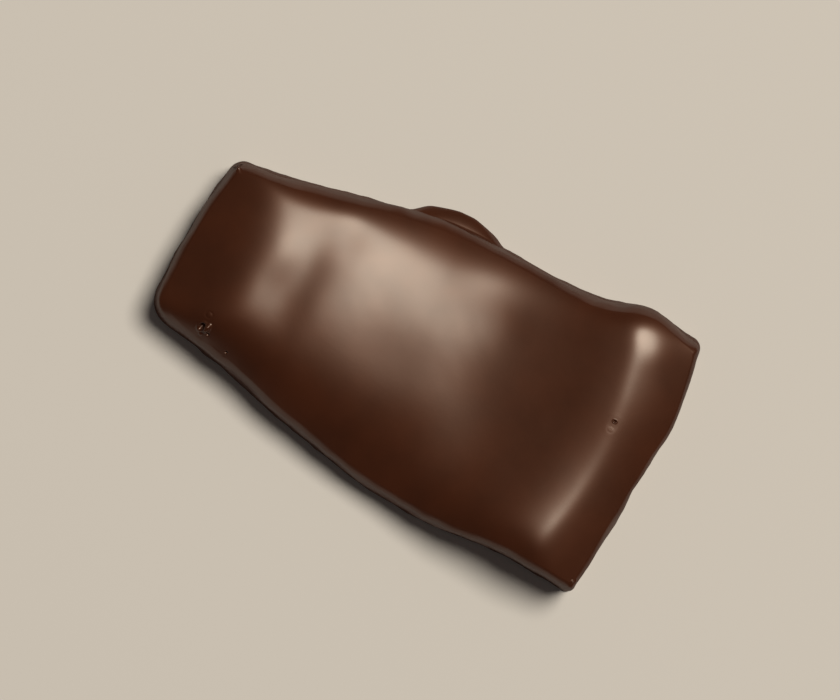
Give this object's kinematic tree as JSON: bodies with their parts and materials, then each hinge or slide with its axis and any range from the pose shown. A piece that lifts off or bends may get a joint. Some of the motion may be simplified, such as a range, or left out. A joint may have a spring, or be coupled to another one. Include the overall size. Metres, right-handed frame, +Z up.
{
  "type": "orangette",
  "caption": "Tapered strip of candied orange peel coated all over in dark chocolate, with bevelled ends, a raised lip at the wide end and a flat underside.",
  "frame": {"origin": "on the flat underside, below the middle of the piece's box", "axes": "+X along the piece from its narrow end to its wide end, +Y across it towards the side with the pooled drop of coating, +Z up"},
  "size_m": [0.0498, 0.0284, 0.0093],
  "materials": {
    "dark_chocolate": "satin tempered dark chocolate, smooth and softly glossy, with a few small burst bubbles along its edges"
  },
  "bodies": {
    "root": {"coated_peel": "dark_chocolate"}
  },
  "joints": []
}
